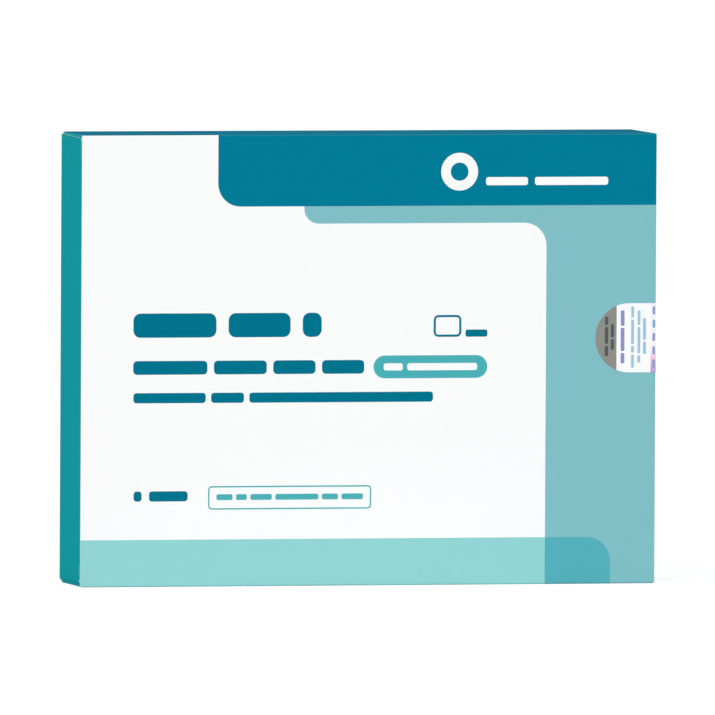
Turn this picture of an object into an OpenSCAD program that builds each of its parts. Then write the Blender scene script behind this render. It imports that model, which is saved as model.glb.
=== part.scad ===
// Sealed folding carton of a home test kit, standing on one of its long edges.
// X runs along the front panel, Y from front to back, Z up.
// The origin is at the middle of the footprint, on the surface that the carton stands on.

/* [Carton] */
// Length of the front panel, along X
carton_length = 180; // [120:1:260]
// Depth from the front panel to the back panel, along Y
carton_depth = 30; // [24:1:60]
// Height of the standing carton, along Z
carton_height = 138; // [90:1:220]

/* [Board] */
// Thickness of the folding boxboard
board_thickness = 0.45; // [0.3:0.05:0.5]
// Outer radius of a creased fold
fold_radius = 0.6; // [0.55:0.05:1.4]

/* [End closures] */
// Clearance between the tuck tongue and the front panel it slides behind
tongue_clearance = 0.25; // [0.1:0.05:0.5]
// Depth at which the tongue comes to lie against the front panel
tongue_slot_depth = 3; // [1.5:0.5:6]
// Clearance between a closure panel's edges and the top and bottom folds' outer faces, at its hinge
closure_clearance = 0.7; // [0.5:0.1:1.5]
// How much a closure panel narrows on each side between its hinge and its tuck fold
closure_taper = 0.3; // [0.1:0.1:1.5]
// Length of the slits that lock each closure panel at its tuck fold
lock_slit_length = 6; // [3:0.5:10]
// Width of those slits
lock_slit_width = 0.2; // [0.1:0.05:0.5]

/* [Glue seam] */
// Bare gap between the glued panel's cut edge and the fold it stops at
seam_clearance = 0.15; // [0.1:0.05:0.6]

/* [Tamper seal] */
// Width of the label, along Z
seal_width = 21.2; // [14:0.1:30]
// Length of the label on the front panel, from the carton's edge
seal_front_reach = 19; // [16:0.5:30]
// Length of the label on the end closure, from the carton's edge
seal_end_reach = 19; // [16:0.5:22]
// Thickness of the label film
seal_thickness = 0.1; // [0.05:0.01:0.2]
// Height of the label's middle above the surface that the carton stands on
seal_centre_height = 75.3; // [20:0.1:75.5]

/* [Print] */
// Length of the header tab, from the carton's right-hand edge
header_length = 137.5; // [90:0.5:150]
// Height of the header tab
header_height = 22; // [10:0.5:30]
// Radius of the header tab's corner
header_corner_radius = 7; // [2:0.5:9]
// Height of the strip that shows under the header tab
strip_height = 5.3; // [2:0.1:8]
// Length of that strip, from the carton's right-hand edge
strip_length = 110.5; // [60:0.5:118]
// Radius of the strip's corner
strip_corner_radius = 4.5; // [1:0.5:5]
// Width of the coloured side field, at the carton's right-hand end
side_field_width = 34.5; // [24:0.5:50]
// Radius of the white panel's corner beside that field
white_corner_radius = 7; // [2:0.5:10]
// Height of the band along the foot
foot_band_height = 14.4; // [8:0.1:20]
// Length of the patch where the foot band crosses the side field
patch_length = 20.5; // [8:0.5:23]
// Radius of that patch's corner
patch_corner_radius = 7.5; // [2:0.5:8]

/* [Hidden] */
$fn = 48;
cut_over = 1;
half_length = carton_length / 2;
half_depth = carton_depth / 2;
sleeve_length = carton_length - 2 * board_thickness;
ink_depth = fold_radius * (1 - cos(45));
seam_setback = fold_radius + seam_clearance;
tongue_face = -half_depth + board_thickness + tongue_clearance;
closure_depth = half_depth - tongue_face;
closure_middle = (carton_height + board_thickness) / 2;
hinge_height = carton_height - board_thickness - 2 * closure_clearance;
tuck_height = hinge_height - 2 * closure_taper;
side_field_left = half_length - side_field_width;
seal_radius = seal_width / 2;
board_white = [1, 1, 1];
header_teal = [0, 0.48, 0.59];
end_teal = [0.08, 0.57, 0.6];
side_aqua = [0.51, 0.75, 0.77];
foot_mint = [0.58, 0.84, 0.84];
patch_teal = [0.32, 0.7, 0.72];
seal_silver = [0.9, 0.91, 0.93];

// Extrudes a section drawn in (Y, Z) along X, centred on the origin
module along_x(length) {
    translate([-length / 2, 0, 0]) rotate([90, 0, 90]) linear_extrude(length) children();
}

// Extrudes an outline drawn in (X, Z) along Y, from one y to another
module along_y(from, to) {
    translate([0, to, 0]) rotate([90, 0, 0]) linear_extrude(to - from) children();
}

// A rectangle from one corner to the other, with a radius of its own at each corner:
// lower left, lower right, upper right, upper left. A radius of 0 leaves the corner square.
module rounded_panel(low, high, radii) {
    corners = [[low.x, low.y, 1, 1], [high.x, low.y, -1, 1], [high.x, high.y, -1, -1], [low.x, high.y, 1, -1]];
    difference() {
        translate(low) square(high - low);
        for (i = [0:3]) if (radii[i] > 0) {
            corner = corners[i];
            translate([corner[0], corner[1]]) scale_to_corner(corner[2], corner[3]) corner_waste(radii[i]);
        }
    }
}

// Turns the lower left corner's waste to any other corner
module scale_to_corner(side_x, side_y) {
    mirror([side_x < 0 ? 1 : 0, 0]) mirror([0, side_y < 0 ? 1 : 0]) children();
}

// What rounding removes at a rectangle's lower left corner
module corner_waste(radius) {
    difference() {
        translate([-cut_over, -cut_over]) square(radius + cut_over);
        translate([radius, radius]) circle(radius);
    }
}

// Section through the folded sleeve. The bottom panel is glued over the flap that folds in from
// the back panel, so it lies one board lower and its cut edge shows behind.
module sleeve_section() {
    r = fold_radius;
    rounded_panel([-half_depth, board_thickness], [half_depth, carton_height], [r, r, r, r]);
    rounded_panel([-half_depth, 0], [half_depth - seam_setback, 3 * r], [r, 0, 0, 0]);
}

// The four glued panels, ended by the folds of the dust flaps one board short of the front panel
module sleeve() {
    r = fold_radius;
    intersection() {
        along_x(sleeve_length) sleeve_section();
        along_y(-half_depth, half_depth)
            rounded_panel([-sleeve_length / 2, 0], [sleeve_length / 2, carton_height], [r, r, r, r]);
    }
}

// The front panel runs the whole length and ends in a cut edge
module front_panel() {
    along_x(carton_length) intersection() {
        sleeve_section();
        translate([-half_depth, 0]) square([board_thickness, carton_height]);
    }
}

// The two closure panels, seen from above as one outline: a fold at the back panel that they
// hinge on, and a fold where the tongue turns in behind the front panel
module closure_outline() {
    r = fold_radius;
    rounded_panel([-half_length, tongue_face], [half_length, half_depth], [r, r, r, r]);
}

// A closure panel as cut: it narrows from its hinge to its tuck fold. Its hinge stops short of the
// folds at the back panel's top and foot, and that foot is one board above the ground.
module closure_shape() {
    translate([0, closure_middle]) polygon([
        [tongue_face, -tuck_height / 2],
        [half_depth, -hinge_height / 2],
        [half_depth, hinge_height / 2],
        [tongue_face, tuck_height / 2]
    ]);
}

// Both end closures, folded shut over the dust flaps
module closures() {
    intersection() {
        linear_extrude(carton_height) closure_outline();
        along_x(carton_length) closure_shape();
    }
}

// The slot that each tongue went in by, behind the front panel's cut edge
module tongue_slots() {
    for (side = [-1, 1])
        translate([side * (half_length + cut_over - (tongue_slot_depth + cut_over) / 2), 0, 0])
            translate([0, tongue_face - tongue_clearance / 2, closure_middle])
                cube([tongue_slot_depth + cut_over, tongue_clearance, tuck_height], center = true);
}

// The slits at both ends of each tuck fold, which the dust flaps' shoulders catch in
module lock_slits() {
    slit_depth = board_thickness + cut_over;
    slit_length = lock_slit_length + cut_over;
    for (side = [-1, 1]) for (end = [-1, 1])
        translate([side * (half_length + cut_over - slit_depth / 2), tongue_face + fold_radius, closure_middle])
            translate([0, lock_slit_width / 2, end * (tuck_height / 2 + cut_over - slit_length / 2)])
                cube([slit_depth, lock_slit_width, slit_length], center = true);
}

// The folded board, before it is printed
module folded_board() {
    difference() {
        union() {
            sleeve();
            front_panel();
            closures();
        }
        tongue_slots();
        lock_slits();
    }
}

// Ink is shown to the depth at which fields on both sides of a fold meet, halfway round it
module on_front() {
    intersection() {
        along_y(-half_depth - cut_over, -half_depth + ink_depth) children();
        translate([0, 0, carton_height / 2])
            cube([2 * carton_length, 2 * carton_depth, carton_height - 2 * ink_depth], center = true);
    }
}

// The header tab, with the top and bottom panels that its colour runs on to
module header_field() {
    on_front() rounded_panel(
        [half_length - header_length, carton_height - header_height],
        [half_length + cut_over, carton_height], [header_corner_radius, 0, 0, 0]);
    for (z = [-cut_over, carton_height - ink_depth])
        translate([-half_length, -half_depth - cut_over, z])
            cube([carton_length, carton_depth + 2 * cut_over, ink_depth + cut_over]);
}

// The strip under the header tab and the side field that it runs into, round the white panel
module side_field() {
    top = carton_height - header_height;
    on_front() {
        rounded_panel([half_length - strip_length, top - strip_height], [side_field_left, top],
            [strip_corner_radius, 0, 0, 0]);
        rounded_panel([side_field_left, 0], [half_length + cut_over, top], [0, 0, 0, 0]);
        translate([side_field_left, top - strip_height]) mirror([1, 0]) mirror([0, 1])
            intersection() {
                corner_waste(white_corner_radius);
                square(white_corner_radius);
            }
    }
}

// The band along the foot of the white panel
module foot_band() {
    on_front() rounded_panel([-half_length, 0], [side_field_left, foot_band_height], [0, 0, 0, 0]);
}

// The darker patch where the foot band crosses the side field
module crossing_patch() {
    on_front() rounded_panel([side_field_left, 0], [side_field_left + patch_length, foot_band_height],
        [0, 0, patch_corner_radius, 0]);
}

// The closure panels' outer faces
module end_faces() {
    for (side = [-1, 1])
        translate([side * (half_length + cut_over - (ink_depth + cut_over) / 2), 0, carton_height / 2])
            translate([0, (tongue_face + half_depth) / 2, 0])
                cube([ink_depth + cut_over, closure_depth, carton_height - 2 * ink_depth], center = true);
}

// The printed and sealed carton: one folded board, shown in the colours of its print
module carton() {
    color(board_white) difference() {
        folded_board();
        header_field();
        side_field();
        foot_band();
        end_faces();
    }
    color(header_teal) intersection() {
        folded_board();
        header_field();
    }
    color(side_aqua) difference() {
        intersection() {
            folded_board();
            side_field();
        }
        crossing_patch();
    }
    color(patch_teal) intersection() {
        folded_board();
        crossing_patch();
    }
    color(foot_mint) intersection() {
        folded_board();
        foot_band();
    }
    color(end_teal) intersection() {
        folded_board();
        end_faces();
    }
}

// One lobe of the label as cut: straight from the carton's edge, then a round end
module seal_lobe(reach) {
    intersection() {
        union() {
            translate([reach - seal_radius, 0]) circle(seal_radius);
            translate([0, -seal_radius]) square([reach - seal_radius, seal_width]);
        }
        translate([0, -seal_width]) square([2 * reach, 2 * seal_width]);
    }
}

// The label as it is stuck down: a lobe on the front panel, a lobe on the end closure, and the
// film's own bend round the corner between them
module tamper_seal() {
    color(seal_silver) translate([half_length, -half_depth, seal_centre_height]) {
        rotate([90, 0, 0]) linear_extrude(seal_thickness) mirror([1, 0]) seal_lobe(seal_front_reach);
        rotate([90, 0, 90]) linear_extrude(seal_thickness) seal_lobe(seal_end_reach);
        intersection() {
            cylinder(h = seal_width, r = seal_thickness, center = true);
            translate([0, -seal_thickness, -seal_radius])
                cube([seal_thickness, seal_thickness, seal_width]);
        }
    }
}

carton();
tamper_seal();
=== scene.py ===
# Sealed folding carton of a home test kit, in a plain studio.
# X runs along the front panel, Y from front to back, Z up, in metres, as in model.glb.
import math

import bpy
import numpy as np
from mathutils import Matrix, Vector
from mathutils.geometry import delaunay_2d_cdt


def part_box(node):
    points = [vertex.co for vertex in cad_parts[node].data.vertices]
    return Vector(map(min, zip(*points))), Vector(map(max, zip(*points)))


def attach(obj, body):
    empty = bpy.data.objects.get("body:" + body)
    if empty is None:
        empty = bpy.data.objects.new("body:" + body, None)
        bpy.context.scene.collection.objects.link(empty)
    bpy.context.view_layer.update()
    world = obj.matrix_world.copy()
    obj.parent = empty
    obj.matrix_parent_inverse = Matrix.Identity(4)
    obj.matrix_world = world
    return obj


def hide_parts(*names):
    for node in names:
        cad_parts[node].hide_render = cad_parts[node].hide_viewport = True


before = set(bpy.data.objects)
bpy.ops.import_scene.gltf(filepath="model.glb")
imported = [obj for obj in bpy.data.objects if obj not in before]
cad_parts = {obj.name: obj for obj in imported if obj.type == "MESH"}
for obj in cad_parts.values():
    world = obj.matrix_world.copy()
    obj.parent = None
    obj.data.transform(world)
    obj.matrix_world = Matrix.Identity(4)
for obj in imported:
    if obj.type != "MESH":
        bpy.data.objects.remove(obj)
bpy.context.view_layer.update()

scene = bpy.context.scene

# Camera
# The photograph is close to a plain elevation of the front panel, taken through a long lens from far off.
# The camera stands a little to the left and a little above, so the left end and a sliver of the top show.
# Places and distances are in metres, and the lens and the frame behind it are in millimetres.
camera_left = math.radians(13.06)
camera_above = math.radians(2.68)
camera_roll = math.radians(0.3)
camera_distance = 8.5
aim_offset = Vector((-0.00016, 0, 0.00001))
lens_length = 1399
frame_width = 36

carton_low, carton_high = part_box("carton")
camera_aim = (carton_low + carton_high) / 2 + aim_offset
camera_back = Vector((
    -math.sin(camera_left) * math.cos(camera_above),
    -math.cos(camera_left) * math.cos(camera_above),
    math.sin(camera_above),
))
camera_level = Vector((math.cos(camera_left), -math.sin(camera_left), 0))
camera_upright = camera_back.cross(camera_level)
camera_right = camera_level * math.cos(camera_roll) + camera_upright * math.sin(camera_roll)
camera_up = camera_upright * math.cos(camera_roll) - camera_level * math.sin(camera_roll)
camera = bpy.data.objects.new("camera", bpy.data.cameras.new("camera"))
camera.data.lens = lens_length
camera.data.sensor_width = frame_width
camera.matrix_world = Matrix.Translation(camera_aim + camera_back * camera_distance) @ (
    Matrix((camera_right, camera_up, camera_back)).transposed().to_4x4()
)
scene.collection.objects.link(camera)
scene.camera = camera

# Carton
# One die-cut blank of white-lined folding boxboard, printed, varnished, folded and glued into a sleeve.
# Both ends are shut by a panel that hinges on the back panel and tucks in behind the front panel, over two
# dust flaps. The blank is drawn flat, in millimetres, cut out with its print, and then folded.
MM = 0.001
length, depth, height = (np.array(carton_high) - np.array(carton_low)) / MM
half_length, half_depth = length / 2, depth / 2
board = 0.45
fold_radius = 0.6
fold_run = fold_radius * math.pi / 2
seam_clearance = 0.15
glue_flap = 12
glue_flap_inset = 2
dust_flap = 13
dust_flap_inset = 0.9
dust_flap_slant = 4
tongue = 14
tongue_clearance = 0.25
tongue_inset = 0.8
tongue_corner = 6
closure_inset = 0.1
closure_taper = 0.3
closure_depth = depth - board - tongue_clearance - 2 * fold_radius
slit_width, slit_length = 0.2, 6
# A slit, and a field of print that bleeds off the board, run this far past its edge
past_edge = 1
# A round end is two quarter circles, which stop short of meeting, so that no two points are in one place
arc_gap = 0.01

# The sleeve's way round the carton, from the bottom panel's glued edge: each stretch's run and fold radius
sleeve = [
    (depth - 2 * fold_radius - seam_clearance, 0),
    (fold_run, fold_radius),
    (height - 2 * fold_radius, 0),
    (fold_run, fold_radius),
    (depth - 2 * fold_radius, 0),
    (fold_run, fold_radius),
    (height - board - 2 * fold_radius, 0),
    (fold_run, fold_radius),
    (glue_flap, 0),
]
closure = [(fold_run, fold_radius), (closure_depth, 0), (fold_run, fold_radius), (tongue, 0)]
dust = [(fold_run, fold_radius), (dust_flap, 0)]
bottom, foot_fold, front, head_fold, top, rear_fold, back, seam_fold, glue, sleeve_end = np.cumsum(
    [0] + [run for run, radius in sleeve]
)
foot_crease, head_crease, rear_crease, seam_crease = (
    fold + fold_run / 2 for fold in (foot_fold, head_fold, rear_fold, seam_fold)
)
closure_hinge = half_length - fold_radius
dust_hinge = half_length - board - fold_radius
tuck_fold = closure_hinge + fold_run + closure_depth


def rounded_outline(low, high, radii=(0, 0, 0, 0), steps=8):
    """Outline of a rectangle from corner low to corner high, as points (n, 2), anticlockwise.

    Each corner, from the lower left one on, is a quarter circle: centre + radius * (cos a, sin a), for a
    over a quarter turn. A radius of 0 leaves one point.
    """
    corners = (
        (low, (1, 1), 180),
        ((high[0], low[1]), (-1, 1), 270),
        (high, (-1, -1), 0),
        ((low[0], high[1]), (1, -1), 90),
    )
    arcs = []
    for (corner, inward, start), radius in zip(corners, radii):
        a = np.radians(start + np.linspace(0, 90, steps + 1 if radius else 1))
        centre = np.array(corner) + radius * np.array(inward)
        arcs.append(centre + radius * np.stack([np.cos(a), np.sin(a)], 1))
    return np.concatenate(arcs)


def mirrored(outlines):
    """The outlines, and the same ones on the sheet's other side, at -x."""
    return outlines + [outline * [-1, 1] for outline in outlines]


def printed(ink, outlines):
    """The outlines, each with its ink."""
    return [(ink, outline) for outline in outlines]


def word_bars(low, high, words, gap, upright=False, rounding=0.3, steps=5):
    """Plain bars in the place of a line of print, as outlines.

    The words' relative lengths share the run, less its gaps. A corner's radius is rounding times the
    line's height. An upright line runs along the sheet's second axis.
    """
    along = 1 if upright else 0
    across = 1 - along
    scale = (high[along] - low[along] - gap * (len(words) - 1)) / sum(words)
    starts = low[along] + np.cumsum([0] + [word * scale + gap for word in words])
    radius = rounding * (high[across] - low[across])
    bars = []
    for start, word in zip(starts, words):
        first, last = list(low), list(high)
        first[along], last[along] = start, start + word * scale
        bars.append(rounded_outline(first, last, [radius] * 4, steps))
    return bars


def inside(points, outline):
    """Whether each point lies in a closed outline: a ray from it crosses an odd number of the sides."""
    x, y = points[:, 0, None], points[:, 1, None]
    ax, ay = outline.T
    bx, by = np.roll(outline, -1, axis=0).T
    beside = (ay > y) != (by > y)
    rise = np.where(by == ay, 1, by - ay)
    return (beside & (x < ax + (y - ay) / rise * (bx - ax))).sum(1) % 2 == 1


def cut_sheet(blank, cuts, prints, creases):
    """A flat sheet as points (n, 2), triangles (m, 3), and the number of each triangle's top print, from 1.

    One Delaunay triangulation runs along every outline and crease. A triangle is kept where its centre is
    in an outline of blank and in none of cuts, and it takes the last print that its centre is in.
    """
    # Output type 0 gives every triangle within the points' hull, and points closer than same_point are one
    all_triangles, same_point = 0, 0.00001
    closed = blank + cuts + [outline for ink, outline in prints]
    points = np.concatenate(closed + creases)
    edges = []
    first = 0
    for line in closed + creases:
        numbers = first + np.arange(len(line))
        pairs = np.stack([numbers, np.roll(numbers, -1)], 1)
        edges += pairs[:len(line) if len(line) > 2 else 1].tolist()
        first += len(line)
    found = delaunay_2d_cdt(
        [Vector(point) for point in points], edges, [], all_triangles, same_point, False
    )
    points = np.array(found[0])
    triangles = np.array(found[2])
    centres = points[triangles].mean(1)
    kept = np.any([inside(centres, outline) for outline in blank], 0)
    if cuts:
        kept &= ~np.any([inside(centres, outline) for outline in cuts], 0)
    top_print = np.zeros(len(triangles), int)
    for number, (ink, outline) in enumerate(prints, 1):
        top_print[inside(centres, outline)] = number
    used, triangles = np.unique(triangles[kept], return_inverse=True)
    return points[used], triangles.reshape(-1, 3), top_print[kept]


def folded_path(distance, start, heading, stretches):
    """Points (n, 2), heading angles and fold shares at each distance along a path.

    A straight stretch adds d (cos h, sin h). A fold to the right adds r (sin h - sin(h - d/r),
    cos(h - d/r) - cos h) and turns the heading by -d/r. The fold share is 1 at a fold's middle, 0 off it.
    """
    x, y = np.full_like(distance, start[0]), np.full_like(distance, start[1])
    turned, fold_share = np.full_like(distance, heading), np.zeros_like(distance)
    begun = 0
    for run, radius in stretches:
        d = np.clip(distance - begun, 0, run)
        if radius:
            x += radius * (math.sin(heading) - np.sin(heading - d / radius))
            y += radius * (np.cos(heading - d / radius) - math.cos(heading))
            turned -= d / radius
            fold_share += np.sin(math.pi * d / run)
            heading -= run / radius
        else:
            x += d * math.cos(heading)
            y += d * math.sin(heading)
        begun += run
    return np.stack([x, y], 1), turned, fold_share


def fold_carton(flat):
    """Outer points (n, 3), outward directions and fold shares of the blank's points, once it is folded up.

    The sleeve's path runs round the carton in Y and Z. Past a hinge, a flap's own path starts along X and
    turns inwards, and its second coordinate is measured along the panel's outward direction.
    """
    x, v = flat.T
    sleeve_start = (half_depth - fold_radius - seam_clearance, 0)
    path, heading, fold_share = folded_path(v, sleeve_start, math.pi, sleeve)
    points = np.column_stack([x, path])
    outward = np.column_stack([0 * x, -np.sin(heading), np.cos(heading)])
    flaps = (
        (bottom, foot_fold, dust_flap_inset, dust_hinge, dust),
        (top, rear_fold, dust_flap_inset, dust_hinge, dust),
        (back, seam_fold, closure_inset, closure_hinge, closure),
    )
    for low, high, inset, hinge, stretches in flaps:
        on_flap = (v > low + inset / 2) & (v < high - inset / 2) & (np.abs(x) > hinge)
        side = np.sign(x[on_flap])
        flap, turned, flap_share = folded_path(np.abs(x[on_flap]) - hinge, (0, 0), 0, stretches)
        points[on_flap, 0] = side * (hinge + flap[:, 0])
        points[on_flap] += outward[on_flap] * flap[:, 1:]
        outward[on_flap] *= np.cos(turned)[:, None]
        outward[on_flap, 0] = -side * np.sin(turned)
        fold_share[on_flap] += flap_share
    return points, outward, fold_share


def bake_places(flat, triangles, islands, detail, rim_count):
    """Bake map places of the outer triangles, the inner ones and the rim's quads, all between 0 and 1.

    Each island keeps its flat shape, at its own detail, and stands in a box on one of several shelves, the
    tallest boxes first. The inner side gets the same islands at a smaller size, and each rim quad a cell.
    """
    inner_size = 1 / 4
    cell, cell_border = 0.5, 0.1
    margin = 1.2
    spare_width = 1.05
    corners = flat[triangles]
    columns = math.ceil(math.sqrt(rim_count))
    count = len(detail)
    lows, sizes = np.zeros((2 * count + 1, 2)), np.zeros((2 * count + 1, 2))
    for island in range(count):
        spots = corners[islands == island].reshape(-1, 2)
        lows[[island, count + island]] = spots.min(0)
        sizes[island] = np.ptp(spots, axis=0) * detail[island]
        sizes[count + island] = sizes[island] * inner_size
    sizes[-1] = columns * cell
    width = spare_width * math.sqrt((sizes + margin).prod(1).sum())
    places = np.zeros_like(sizes)
    x = y = shelf = 0
    for box in np.argsort(-sizes[:, 1]):
        if x + sizes[box, 0] > width:
            x, y, shelf = 0, y + shelf + margin, 0
        places[box] = x, y
        shelf = max(shelf, sizes[box, 1])
        x += sizes[box, 0] + margin
    side = max(width, y + shelf)
    drawn = (corners - lows[islands, None]) * detail[islands, None, None]
    outer = drawn + places[islands, None]
    inner = drawn * inner_size + places[count + islands, None]
    column, row = np.arange(rim_count) % columns, np.arange(rim_count) // columns
    in_cell = cell_border + (1 - 2 * cell_border) * np.array([[0, 0], [1, 0], [1, 1], [0, 1]])
    rim = places[-1] + cell * (np.column_stack([column, row])[:, None] + in_cell)
    return outer / side, inner / side, rim / side


def folded_piece(name, sheet, prints, inks, fold, thickness, zone_of, zone_detail):
    """Object of a folded sheet: its printed outer side, its inner side, and the cut edges between them.

    fold gives each flat point's place p and outward direction n. The inner side is at p - thickness * n,
    and every edge with one triangle gets a quad of cut edge. The first of inks shows where nothing is
    printed, and the last one is that of the inner side and the cut edges.
    """
    flat, triangles, top_print = sheet
    points, outward, fold_share = fold(flat)
    count = len(points)
    sides = np.concatenate([triangles[:, [0, 1]], triangles[:, [1, 2]], triangles[:, [2, 0]]])
    rim = sides[~np.isin(sides @ [count, 1], sides @ [1, count])]
    quads = np.column_stack([rim[:, 1], rim[:, 0], rim[:, 0] + count, rim[:, 1] + count])
    vertices = np.concatenate([points, points - thickness * outward])
    mesh = bpy.data.meshes.new(name)
    mesh.from_pydata(
        vertices * MM, [], triangles.tolist() + (triangles[:, ::-1] + count).tolist() + quads.tolist()
    )
    for material in inks.values():
        mesh.materials.append(material)
    ink_names = list(inks)
    bare, raw = 0, len(inks) - 1
    slot_of_print = np.array([bare] + [ink_names.index(ink) for ink, outline in prints])
    slots = np.concatenate([slot_of_print[top_print], np.full(len(triangles) + len(quads), raw)])
    mesh.polygons.foreach_set("material_index", slots.astype(np.int32))
    mesh.polygons.foreach_set("use_smooth", np.ones(len(mesh.polygons), bool))
    along_rim, across_rim = (vertices[quads[:, turn + 1]] - vertices[quads[:, turn]] for turn in (0, 1))
    rim_normal = np.cross(along_rim, across_rim)
    rim_normal /= np.linalg.norm(rim_normal, axis=1, keepdims=True)
    mesh.normals_split_custom_set(np.concatenate([
        outward[triangles].reshape(-1, 3),
        -outward[triangles[:, ::-1]].reshape(-1, 3),
        np.repeat(rim_normal, 4, 0),
    ]))
    mesh.attributes.new("fold_share", "FLOAT", "POINT").data.foreach_set("value", np.tile(fold_share, 2))
    zones = zone_of(flat[triangles].mean(1))
    kinds, islands = np.unique(np.column_stack([zones, top_print]), axis=0, return_inverse=True)
    outer, inner, rim_places = bake_places(
        flat, triangles, islands.ravel(), np.array(zone_detail)[kinds[:, 0]], len(quads)
    )
    bake_map = mesh.uv_layers.new(name="OFBake")
    bake_map.uv.foreach_set("vector", np.concatenate([
        outer.reshape(-1, 2), inner[:, ::-1].reshape(-1, 2), rim_places.reshape(-1, 2),
    ]).ravel())
    piece = bpy.data.objects.new(name, mesh)
    scene.collection.objects.link(piece)
    return piece


def add_node(tree, kind, inputs, **settings):
    """A new node, with its settings, and with each input given a value or linked to another node's output."""
    node = tree.nodes.new(kind)
    for name, value in settings.items():
        setattr(node, name, value)
    for name, value in inputs.items():
        if isinstance(value, bpy.types.NodeSocket):
            tree.links.new(value, node.inputs[name])
        else:
            node.inputs[name].default_value = value
    return node


def worked_out(tree, operation, *values):
    """What one Math node makes of values and of other nodes' outputs."""
    return add_node(tree, "ShaderNodeMath", dict(enumerate(values)), operation=operation).outputs[0]


def noise(tree, place, per_metre, detail):
    """Soft noise between 0 and 1 over a place in metres, with about per_metre blotches to the metre."""
    return add_node(
        tree, "ShaderNodeTexNoise", {"Vector": place, "Scale": per_metre, "Detail": detail}
    ).outputs[0]


def blended(tree, share, first, second, blend="MIX"):
    """The first colour with a share of the second. A Mix node takes colours at 6 and 7 and gives one at 2."""
    return add_node(
        tree, "ShaderNodeMix", {0: share, 6: first, 7: second}, data_type="RGBA", blend_type=blend
    ).outputs[2]


def seen_as(red, green, blue):
    """Linear colour of a colour picked on screen, 0 to 255.

    With c as the share of 255, it is c / 12.92 up to 0.04045, and ((c + 0.055) / 1.055) ^ 2.4 above.
    """
    c = np.array([red, green, blue]) / 255
    return (*np.where(c <= 0.04045, c / 12.92, ((c + 0.055) / 1.055) ** 2.4), 1)


def new_material(name):
    """A material with no nodes yet, and its node tree."""
    material = bpy.data.materials.new(name)
    material.use_nodes = True
    material.node_tree.nodes.clear()
    return material, material.node_tree


def new_group(name, inputs, outputs):
    """A shader node group with named sockets, and its input and output nodes."""
    group = bpy.data.node_groups.new(name, "ShaderNodeTree")
    for socket, (kind, value) in inputs.items():
        group.interface.new_socket(name=socket, in_out="INPUT", socket_type=kind).default_value = value
    for socket, kind in outputs.items():
        group.interface.new_socket(name=socket, in_out="OUTPUT", socket_type=kind)
    return group, group.nodes.new("NodeGroupInput"), group.nodes.new("NodeGroupOutput")


def varnished_print():
    """Node group of ink on boxboard under a matt varnish: colour, roughness and height.

    The ink's lightness drifts by about a hundredth, and its roughness by a few hundredths, over blotches
    some 6 mm across and over the paper's grain. The board's fibres run along the sheet. Along a fold the
    colour is blended a little towards a pale colour, a painted highlight, and the varnish is duller there.
    """
    blotches_per_metre, grains_per_metre, fibres_per_metre = 160, 1400, 900
    fibre_length = 4
    roughness_drift = 0.08
    # Painted highlight: a fold's middle is blended this far towards this pale colour. A fold is also this
    # much duller
    painted_highlight_colour = (0.9, 0.9, 0.88, 1)
    fold_highlight_paint, fold_dullness = 0.02, 0.1
    group, given, made = new_group(
        "varnished print",
        {
            "Ink": ("NodeSocketColor", (1, 1, 1, 1)),
            "Mottle": ("NodeSocketFloat", 0.02),
            "Roughness": ("NodeSocketFloat", 0.85),
        },
        {"Colour": "NodeSocketColor", "Roughness": "NodeSocketFloat", "Height": "NodeSocketFloat"},
    )
    place = add_node(group, "ShaderNodeTexCoord", {}).outputs["Object"]
    blotches = noise(group, place, blotches_per_metre, detail=2)
    grain = noise(group, place, grains_per_metre, detail=3)
    along_sheet = add_node(
        group, "ShaderNodeMapping", {"Vector": place, "Scale": (1 / fibre_length, 1, 1)}
    ).outputs[0]
    fibres = noise(group, along_sheet, fibres_per_metre, detail=2)
    fold_share = add_node(group, "ShaderNodeAttribute", {}, attribute_name="fold_share").outputs["Fac"]
    tone = worked_out(group, "ADD", blotches, grain)
    drift = worked_out(group, "SUBTRACT", tone, 1)
    value = worked_out(group, "MULTIPLY_ADD", drift, given.outputs["Mottle"], 1)
    inked = add_node(
        group, "ShaderNodeHueSaturation", {"Color": given.outputs["Ink"], "Value": value}
    ).outputs["Color"]
    # Painted highlight: the share of the pale colour that is blended in along each fold
    painted_fold_highlight = worked_out(group, "MULTIPLY", fold_share, fold_highlight_paint)
    sheen = worked_out(group, "MULTIPLY_ADD", drift, roughness_drift, given.outputs["Roughness"])
    results = {
        "Colour": blended(group, painted_fold_highlight, inked, painted_highlight_colour),
        "Roughness": worked_out(group, "MULTIPLY_ADD", fold_share, fold_dullness, sheen),
        "Height": worked_out(group, "ADD", fibres, grain),
    }
    for name, result in results.items():
        group.links.new(result, made.inputs[name])
    return group


def print_material(name, ink, mottle=0.02):
    """Material of one printed or bare colour of the board, through the shared print group."""
    roughness, shine, fibre_relief = 0.85, 0.02, 0.000006
    material, tree = new_material(name)
    surface = add_node(
        tree, "ShaderNodeGroup", {"Ink": ink, "Mottle": mottle, "Roughness": roughness},
        node_tree=print_group,
    )
    bump = add_node(tree, "ShaderNodeBump", {"Distance": fibre_relief, "Height": surface.outputs["Height"]})
    shader = add_node(tree, "ShaderNodeBsdfPrincipled", {
        "Base Color": surface.outputs["Colour"],
        "Roughness": surface.outputs["Roughness"],
        "Specular IOR Level": shine,
        "Normal": bump.outputs["Normal"],
    })
    add_node(tree, "ShaderNodeOutputMaterial", {"Surface": shader.outputs["BSDF"]})
    return material


print_group = varnished_print()
board_inks = {
    "white": print_material("board white", seen_as(250, 251, 251), mottle=0.006),
    "header": print_material("header teal", seen_as(0, 123, 150)),
    "side": print_material("side aqua", seen_as(129, 190, 197)),
    "foot": print_material("foot mint", seen_as(147, 211, 211)),
    "patch": print_material("patch teal", seen_as(85, 175, 185)),
    "end": print_material("end teal", seen_as(12, 158, 167)),
    "type": print_material("type teal", seen_as(0, 115, 140)),
    "pill": print_material("pill teal", seen_as(75, 175, 182)),
    "raw": print_material("raw board", seen_as(228, 226, 218), mottle=0.06),
}

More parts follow.
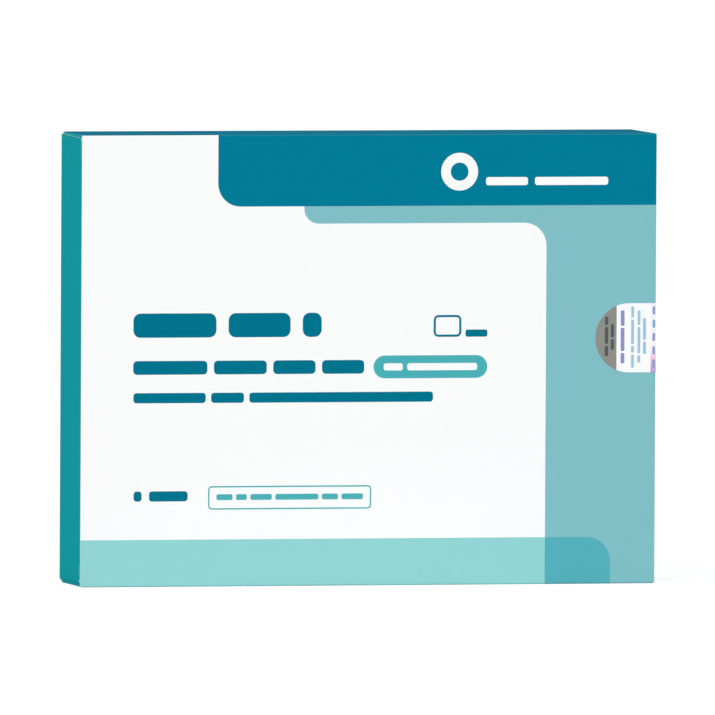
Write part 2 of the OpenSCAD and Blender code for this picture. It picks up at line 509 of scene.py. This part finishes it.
# The blank's panels, as half width and the run that they take up round the sleeve
panels = [
    (dust_hinge, bottom, foot_fold),
    (half_length - board, foot_fold, foot_crease),
    (half_length, foot_crease, head_crease),
    (half_length - board, head_crease, top),
    (dust_hinge, top, rear_fold),
    (half_length - board, rear_fold, back),
    (closure_hinge, back, seam_fold),
    (half_length - board, seam_fold, glue),
]
glue_edge = dust_hinge - glue_flap_inset
glue_end = glue_edge - glue_flap / 2
blank = [rounded_outline((-half, low), (half, high)) for half, low, high in panels]
blank += [np.array([(-glue_edge, glue), (glue_edge, glue), (glue_end, sleeve_end), (-glue_end, sleeve_end)])]
dust_end = dust_hinge + fold_run + dust_flap
blank += mirrored([
    np.array([
        (dust_hinge, low + dust_flap_inset),
        (dust_end, low + dust_flap_inset + dust_flap_slant),
        (dust_end, high - dust_flap_inset - dust_flap_slant),
        (dust_hinge, high - dust_flap_inset),
    ])
    for low, high in ((bottom, foot_fold), (top, rear_fold))
])
tuck_low, tuck_high = back + closure_inset + closure_taper, seam_fold - closure_inset - closure_taper
tongue_end = tuck_fold + fold_run + tongue
blank += mirrored([
    np.array([
        (closure_hinge, back + closure_inset),
        (tuck_fold, tuck_low),
        (tuck_fold, tuck_high),
        (closure_hinge, seam_fold - closure_inset),
    ]),
    rounded_outline(
        (tuck_fold, tuck_low + tongue_inset),
        (tongue_end, tuck_high - tongue_inset),
        (0, tongue_corner, tongue_corner, 0),
    ),
])
lock_slits = mirrored([
    rounded_outline((tuck_fold - slit_width, low), (tuck_fold, high))
    for low, high in (
        (tuck_low - past_edge, tuck_low + slit_length), (tuck_high - slit_length, tuck_high + past_edge)
    )
])

# Each fold is creased along lines close enough together to turn smoothly
lines_per_fold = 9
fold_steps = np.linspace(0, fold_run, lines_per_fold)
flap_folds = [
    (dust_hinge, bottom, foot_fold),
    (dust_hinge, top, rear_fold),
    (closure_hinge, back, seam_fold),
    (tuck_fold, back, seam_fold),
]
board_creases = [
    np.array([(-half_length, fold + step), (half_length, fold + step)])
    for fold in (foot_fold, head_fold, rear_fold, seam_fold)
    for step in fold_steps
]
board_creases += mirrored([
    np.array([(hinge + step, low), (hinge + step, high)])
    for hinge, low, high in flap_folds
    for step in fold_steps
])

# The print's sizes. On the front and back panels, heights are measured from the foot.
header_length, header_height, header_corner = 137.5, 22, 7
strip_length, strip_height, strip_corner = 110.5, 5.3, 4.5
side_width, white_corner = 34.5, 7
foot_height = 14.4
patch_length, patch_corner = 20.5, 7.5
bleed = 3
header_base = height - header_height
strip_base = header_base - strip_height
side_left = half_length - side_width
over = half_length + past_edge
past_flaps = 2 * length


def up_front(z):
    """Run round the sleeve at which the front panel is at height z."""
    return front - fold_radius + z


def up_back(z):
    """Run round the sleeve at which the back panel is at height z."""
    return back + height - fold_radius - z


def front_field(low, high, radii=(0, 0, 0, 0)):
    """Outline of a rounded field between two points of the front panel, in x from its middle and height."""
    return rounded_outline((low[0], up_front(low[1])), (high[0], up_front(high[1])), radii)


def front_frame(ink, middle_ink, low, high, radius, line):
    """A rounded frame between two points of the front panel, and its middle, in by the line's width."""
    (x0, z0), (x1, z1) = low, high
    return [
        (ink, front_field(low, high, [radius] * 4)),
        (middle_ink, front_field((x0 + line, z0 + line), (x1 - line, z1 - line), [radius - line] * 4)),
    ]


def front_words(ink, low, high, words, gap):
    """Word bars between two points of the front panel, each with its ink."""
    return printed(ink, word_bars((low[0], up_front(low[1])), (high[0], up_front(high[1])), words, gap))


# The print itself, from the lowest field to the top one
foot_z, head_z = (stop - front + fold_radius for stop in (foot_fold, head_crease))
carton_print = [
    ("side", front_field((side_left - white_corner, foot_z), (over, header_base))),
    ("white", front_field((-over, foot_z), (side_left, strip_base), (0, 0, white_corner, 0))),
    ("side", front_field(
        (half_length - strip_length, strip_base), (side_left, header_base), (strip_corner, 0, 0, 0)
    )),
    ("header", front_field(
        (half_length - header_length, header_base), (over, head_z), (header_corner, 0, 0, 0)
    )),
    ("foot", front_field((-over, foot_z), (side_left, foot_height))),
    ("patch", front_field(
        (side_left, foot_z), (side_left + patch_length, foot_height), (0, 0, patch_corner, 0)
    )),
    ("header", rounded_outline((-past_flaps, -past_edge), (past_flaps, foot_fold))),
    ("header", rounded_outline((-past_flaps, head_crease), (past_flaps, rear_crease))),
    ("header", rounded_outline((-over, rear_crease), (over, up_back(header_base)))),
    ("foot", rounded_outline((-over, up_back(foot_height)), (over, seam_crease))),
]
for low, high in ((bottom, foot_fold), (top, rear_fold)):
    for ink, first in (("end", dust_hinge + fold_run / 2), ("white", dust_hinge + fold_run + bleed)):
        carton_print += printed(ink, mirrored([rounded_outline((first, low), (past_flaps, high))]))
carton_print += printed("end", mirrored([
    rounded_outline((closure_hinge + fold_run / 2, back), (tuck_fold + fold_run + bleed, seam_fold))
]))

# Lines of print and small fields on the front panel, from their lower left to their upper right corner
pill_low, pill_high = (1.4, 63.3), (37.1, 70.3)
pill_corner = (pill_high[1] - pill_low[1]) / 2 - arc_gap
carton_print += front_words("type", (-73.8, 76.1), (-14.9, 83.5), (8.3, 6.2, 1.9), gap=3.8)
carton_print += front_words("type", (-73.8, 64.8), (-1.5, 69), (7, 5, 4, 4), gap=2)
carton_print += front_words("type", (-73.7, 56.1), (20.1, 59.2), (22, 10, 56), gap=1.7)
carton_print += front_words("type", (30.2, 75.9), (37.1, 78.1), (1,), gap=0)
carton_print += front_words("type", (-73.5, 26.1), (-56.6, 29.2), (2.5, 12), gap=2.3)
carton_print += [("pill", front_field(pill_low, pill_high, [pill_corner] * 4))]
carton_print += front_frame("type", "white", (20.2, 75.9), (28.9, 82.6), radius=1.5, line=0.7)
carton_print += front_frame("pill", "white", (-50.2, 23.5), (0.9, 30.7), radius=1.2, line=0.45)
carton_print += front_words("pill", (-47.6, 26.4), (-1.7, 28.2), (3, 2, 4, 8, 3, 4), gap=1.1)
carton_print += front_words("white", (4.6, 65.7), (33.9, 67.9), (3, 11), gap=1.4)
carton_print += front_words("white", (36.4, 122.2), (74.8, 124.7), (4, 7), gap=2.2)
carton_print += front_frame("white", "header", (22.3, 120.6), (33.9, 132.2), radius=5.8, line=3)


def carton_zone(centres):
    """Number of the panel or flap that each flat point is on: 0 for the front panel, 1 to 15 for the rest."""
    x, v = centres.T
    panel = np.searchsorted([foot_crease, head_crease, rear_crease, seam_crease], v)
    beyond = np.where(np.abs(x) > half_length, 1 + (x > 0), 0)
    return np.where(panel == 1, 0, 1 + 3 * panel + beyond)


# The bake map has the front panel at its full size, and the 15 other panels and flaps at half of it
carton_detail = [1] + [0.5] * 15
carton = folded_piece(
    "folded_carton",
    cut_sheet(blank, lock_slits, carton_print, board_creases),
    carton_print,
    board_inks,
    fold_carton,
    board,
    carton_zone,
    carton_detail,
)
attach(carton, "root")
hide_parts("carton")

# Tamper seal
# A die-cut film label with two round ends, stuck over the edge between the front panel and the right-hand
# closure, so that the closure can't be opened without tearing it. Its ends are grey, its middle is printed
# white, and a narrow foil strip runs round the corner.
seal_low, seal_high = (np.array(corner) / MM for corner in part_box("tamper_seal"))
film = 0.1
# The film's inner side stays this far off the board, so that the two never lie in one plane
film_gap = 0.01
film_bend = 0.12
film_run = film_bend * math.pi / 2
front_reach = half_length + film - seal_low[0] - film_bend
end_reach = seal_high[1] + half_depth + film - film_bend
seal_half = (seal_high[2] - seal_low[2]) / 2
seal_middle = (seal_high[2] + seal_low[2]) / 2
label_end, label_front = film_run / 2 + end_reach, -film_run / 2 - front_reach


def fold_seal(flat):
    """Outer points, outward directions and fold shares of the label, bent round the carton's edge.

    x is measured from the bend, positive on the closure, and the path starts at the label's far end there.
    """
    x, z = flat.T
    path, heading, fold_share = folded_path(
        label_end - x, (seal_high[0], seal_high[1]), -math.pi / 2,
        [(end_reach, 0), (film_run, film_bend), (front_reach, 0)],
    )
    outward = np.column_stack([-np.sin(heading), np.cos(heading), 0 * x])
    return np.column_stack([path, seal_middle + z]), outward, fold_share


def colour_along(tree, share, stops):
    """Colour at a share from 0 to 1, blended evenly between stops of a share and a linear colour each."""
    ramp = add_node(tree, "ShaderNodeValToRGB", {"Fac": share})
    for position, colour in stops[1:-1]:
        ramp.color_ramp.elements.new(position)
    for element, (position, colour) in zip(ramp.color_ramp.elements, stops):
        element.position, element.color = position, colour
    return ramp.outputs["Color"]


def label_film():
    """Node group of glossy printed film: its colour drifts between a cool and a warm cast, as foil does.

    Cast is how far it drifts. The height is the slight unevenness of a hand-laid label.
    """
    drift_per_metre, ripples_per_metre = 150, 260
    cool, warm = (0.85, 1, 0.96, 1), (1, 0.88, 0.9, 1)
    smoothest, roughest = 0.2, 0.28
    group, given, made = new_group(
        "label film",
        {"Print": ("NodeSocketColor", (1, 1, 1, 1)), "Cast": ("NodeSocketFloat", 0.1)},
        {"Colour": "NodeSocketColor", "Roughness": "NodeSocketFloat", "Height": "NodeSocketFloat"},
    )
    place = add_node(group, "ShaderNodeTexCoord", {}).outputs["Object"]
    drift = noise(group, place, drift_per_metre, detail=1)
    ripples = noise(group, place, ripples_per_metre, detail=2)
    tint = colour_along(group, drift, ((0.35, cool), (0.65, warm)))
    results = {
        "Colour": blended(group, given.outputs["Cast"], given.outputs["Print"], tint, "MULTIPLY"),
        "Roughness": add_node(
            group, "ShaderNodeMapRange", {"Value": ripples, "To Min": smoothest, "To Max": roughest}
        ).outputs["Result"],
        "Height": ripples,
    }
    for name, result in results.items():
        group.links.new(result, made.inputs[name])
    return group


def film_material(name, colour, cast=0.1):
    """Material of one colour of the label's print, through the shared film group.

    colour is a linear colour, or a function that adds the nodes of a colour that changes.
    """
    shine, ripple_relief = 0.35, 0.00001
    material, tree = new_material(name)
    surface = add_node(
        tree, "ShaderNodeGroup", {"Print": colour(tree) if callable(colour) else colour, "Cast": cast},
        node_tree=film_group,
    )
    bump = add_node(tree, "ShaderNodeBump", {"Distance": ripple_relief, "Height": surface.outputs["Height"]})
    shader = add_node(tree, "ShaderNodeBsdfPrincipled", {
        "Base Color": surface.outputs["Colour"],
        "Roughness": surface.outputs["Roughness"],
        "Specular IOR Level": shine,
        "Normal": bump.outputs["Normal"],
    })
    add_node(tree, "ShaderNodeOutputMaterial", {"Surface": shader.outputs["BSDF"]})
    return material


def foil_colour(tree):
    """The foil strip's colour by height: pale at its head, turning pink and then violet towards its foot."""
    place = add_node(tree, "ShaderNodeTexCoord", {}).outputs["Object"]
    up = add_node(tree, "ShaderNodeSeparateXYZ", {"Vector": place}).outputs["Z"]
    share = add_node(tree, "ShaderNodeMapRange", {
        "Value": up, "From Min": seal_low[2] * MM, "From Max": seal_high[2] * MM,
    }).outputs["Result"]
    return colour_along(tree, share, (
        (0, seen_as(176, 160, 220)),
        (0.08, seen_as(205, 165, 218)),
        (0.2, seen_as(244, 190, 220)),
        (0.3, seen_as(250, 232, 244)),
        (0.4, seen_as(250, 246, 252)),
        (1, seen_as(246, 244, 254)),
    ))


film_group = label_film()
seal_inks = {
    "grey": film_material("film grey", seen_as(140, 138, 132), cast=0.5),
    "white": film_material("film white", seen_as(250, 251, 253), cast=0.03),
    "dark": film_material("film dark", seen_as(74, 78, 78)),
    "indigo": film_material("film indigo", seen_as(138, 142, 196)),
    "blue": film_material("film blue", seen_as(156, 196, 220)),
    "foil": film_material("foil strip", foil_colour, cast=0.4),
    "dash": film_material("foil dash", seen_as(130, 160, 206), cast=0.3),
    "edge": film_material("film edge", seen_as(225, 228, 230)),
}

# The label's white middle, its foil strip, and the bars on its front half, which the closure's half repeats:
# ink, the bars' near and far side from the bend, foot, head, words and gap
white_reach = 12.4
foil_reach = 1.65
label_bars = (
    ("dark", 15.0, 16.1, -5.6, 6.5, (5, 8, 4), 0.6),
    ("dark", 13.2, 14.2, -3.6, 4.2, (4, 5), 0.6),
    ("indigo", 9.9, 11.1, -7.8, 8.4, (4, 9, 6), 0.6),
    ("blue", 6.9, 7.8, -9.2, 9.6, (6, 3, 11, 5), 0.6),
    ("blue", 4.9, 5.8, -7.6, 8.4, (3, 11, 6), 0.6),
    ("blue", 3.1, 4.1, -5, 6, (4, 7), 0.6),
    ("dash", 0.25, 1.1, -9.2, 9.6, (7, 7, 7, 7, 7), 1.6),
)
seal_print = []
for ink, reach in (("white", white_reach), ("foil", foil_reach)):
    seal_print += [(ink, rounded_outline((-reach, -seal_half - past_edge), (reach, seal_half + past_edge)))]
for ink, near, far, foot, head, words, gap in label_bars:
    seal_print += printed(ink, mirrored(word_bars((-far, foot), (-near, head), words, gap, upright=True)))

label = [rounded_outline(
    (label_front, -seal_half), (label_end, seal_half), [seal_half - arc_gap] * 4, steps=16
)]
lines_per_bend = 7
label_creases = [
    np.array([(step, -seal_half), (step, seal_half)])
    for step in np.linspace(-film_run / 2, film_run / 2, lines_per_bend)
]


def seal_zone(centres):
    """Number of the label's half that each flat point is on: 0 on the front panel, 1 on the closure."""
    return (centres[:, 0] > 0).astype(int)


seal_detail = [1, 1]
seal = folded_piece(
    "tamper_label",
    cut_sheet(label, [], seal_print, label_creases),
    seal_print,
    seal_inks,
    fold_seal,
    film - film_gap,
    seal_zone,
    seal_detail,
)
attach(seal, "root")
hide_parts("tamper_seal")

# Studio
# A pale floor that runs to the horizon, soft light from all round, one large soft lamp ahead, to the left
# and above, and a weaker one behind, to the right, which adds no shine. The floor and the world are plain
# white to the camera, and the floor keeps the carton's shadow.
white = (1, 1, 1, 1)
room_light = 0.435
floor_reach = 60
floor_bounce = (0.8, 0.8, 0.8, 1)
floor_shade = (0.3, 0.3, 0.3, 1)
floor_own_light = 0.82
# Each lamp's direction from the carton, strength, spread in degrees, and whether shiny surfaces mirror it
lamps = {
    "key_lamp": ((-0.5, -0.75, 0.33), 2.36, 70, True),
    "fill_lamp": ((0.5, 0.86, 0.06), 1.35, 40, False),
}

scene.view_settings.view_transform = "Standard"

for name, (direction, strength, spread, shines) in lamps.items():
    lamp = bpy.data.objects.new(name, bpy.data.lights.new(name, "SUN"))
    lamp.data.energy = strength
    lamp.data.angle = math.radians(spread)
    lamp.rotation_mode = "QUATERNION"
    lamp.rotation_quaternion = Vector(direction).to_track_quat("Z", "Y")
    lamp.visible_glossy = shines
    scene.collection.objects.link(lamp)


def by_ray(tree, lighting, seen):
    """The seen shader for camera, glossy and transmission rays, and the lighting one for all the others."""
    path = add_node(tree, "ShaderNodeLightPath", {}).outputs
    direct = worked_out(tree, "MAXIMUM", path["Is Camera Ray"], path["Is Glossy Ray"])
    direct = worked_out(tree, "MAXIMUM", direct, path["Is Transmission Ray"])
    return add_node(
        tree, "ShaderNodeMixShader", {0: direct, 1: lighting.outputs[0], 2: seen.outputs[0]}
    ).outputs[0]


world = bpy.data.worlds.new("studio")
world.use_nodes = True
sky = world.node_tree
sky.nodes.clear()
lit = add_node(sky, "ShaderNodeBackground", {"Color": white, "Strength": room_light})
shown = add_node(sky, "ShaderNodeBackground", {"Color": white, "Strength": 1})
add_node(sky, "ShaderNodeOutputWorld", {"Surface": by_ray(sky, lit, shown)})
scene.world = world

floor_mesh = bpy.data.meshes.new("floor")
floor_corners = ((-1, -1), (1, -1), (1, 1), (-1, 1))
floor_mesh.from_pydata([(x * floor_reach, y * floor_reach, 0) for x, y in floor_corners], [], [(0, 1, 2, 3)])
floor = bpy.data.objects.new("floor", floor_mesh)
scene.collection.objects.link(floor)
floor_material, paper = new_material("floor paper")
bounce = add_node(paper, "ShaderNodeBsdfDiffuse", {"Color": floor_bounce})
shade = add_node(paper, "ShaderNodeBsdfDiffuse", {"Color": floor_shade})
glow = add_node(paper, "ShaderNodeEmission", {"Color": white, "Strength": floor_own_light})
ground = add_node(paper, "ShaderNodeAddShader", {0: shade.outputs[0], 1: glow.outputs[0]})
add_node(paper, "ShaderNodeOutputMaterial", {"Surface": by_ray(paper, bounce, ground)})
floor_mesh.materials.append(floor_material)
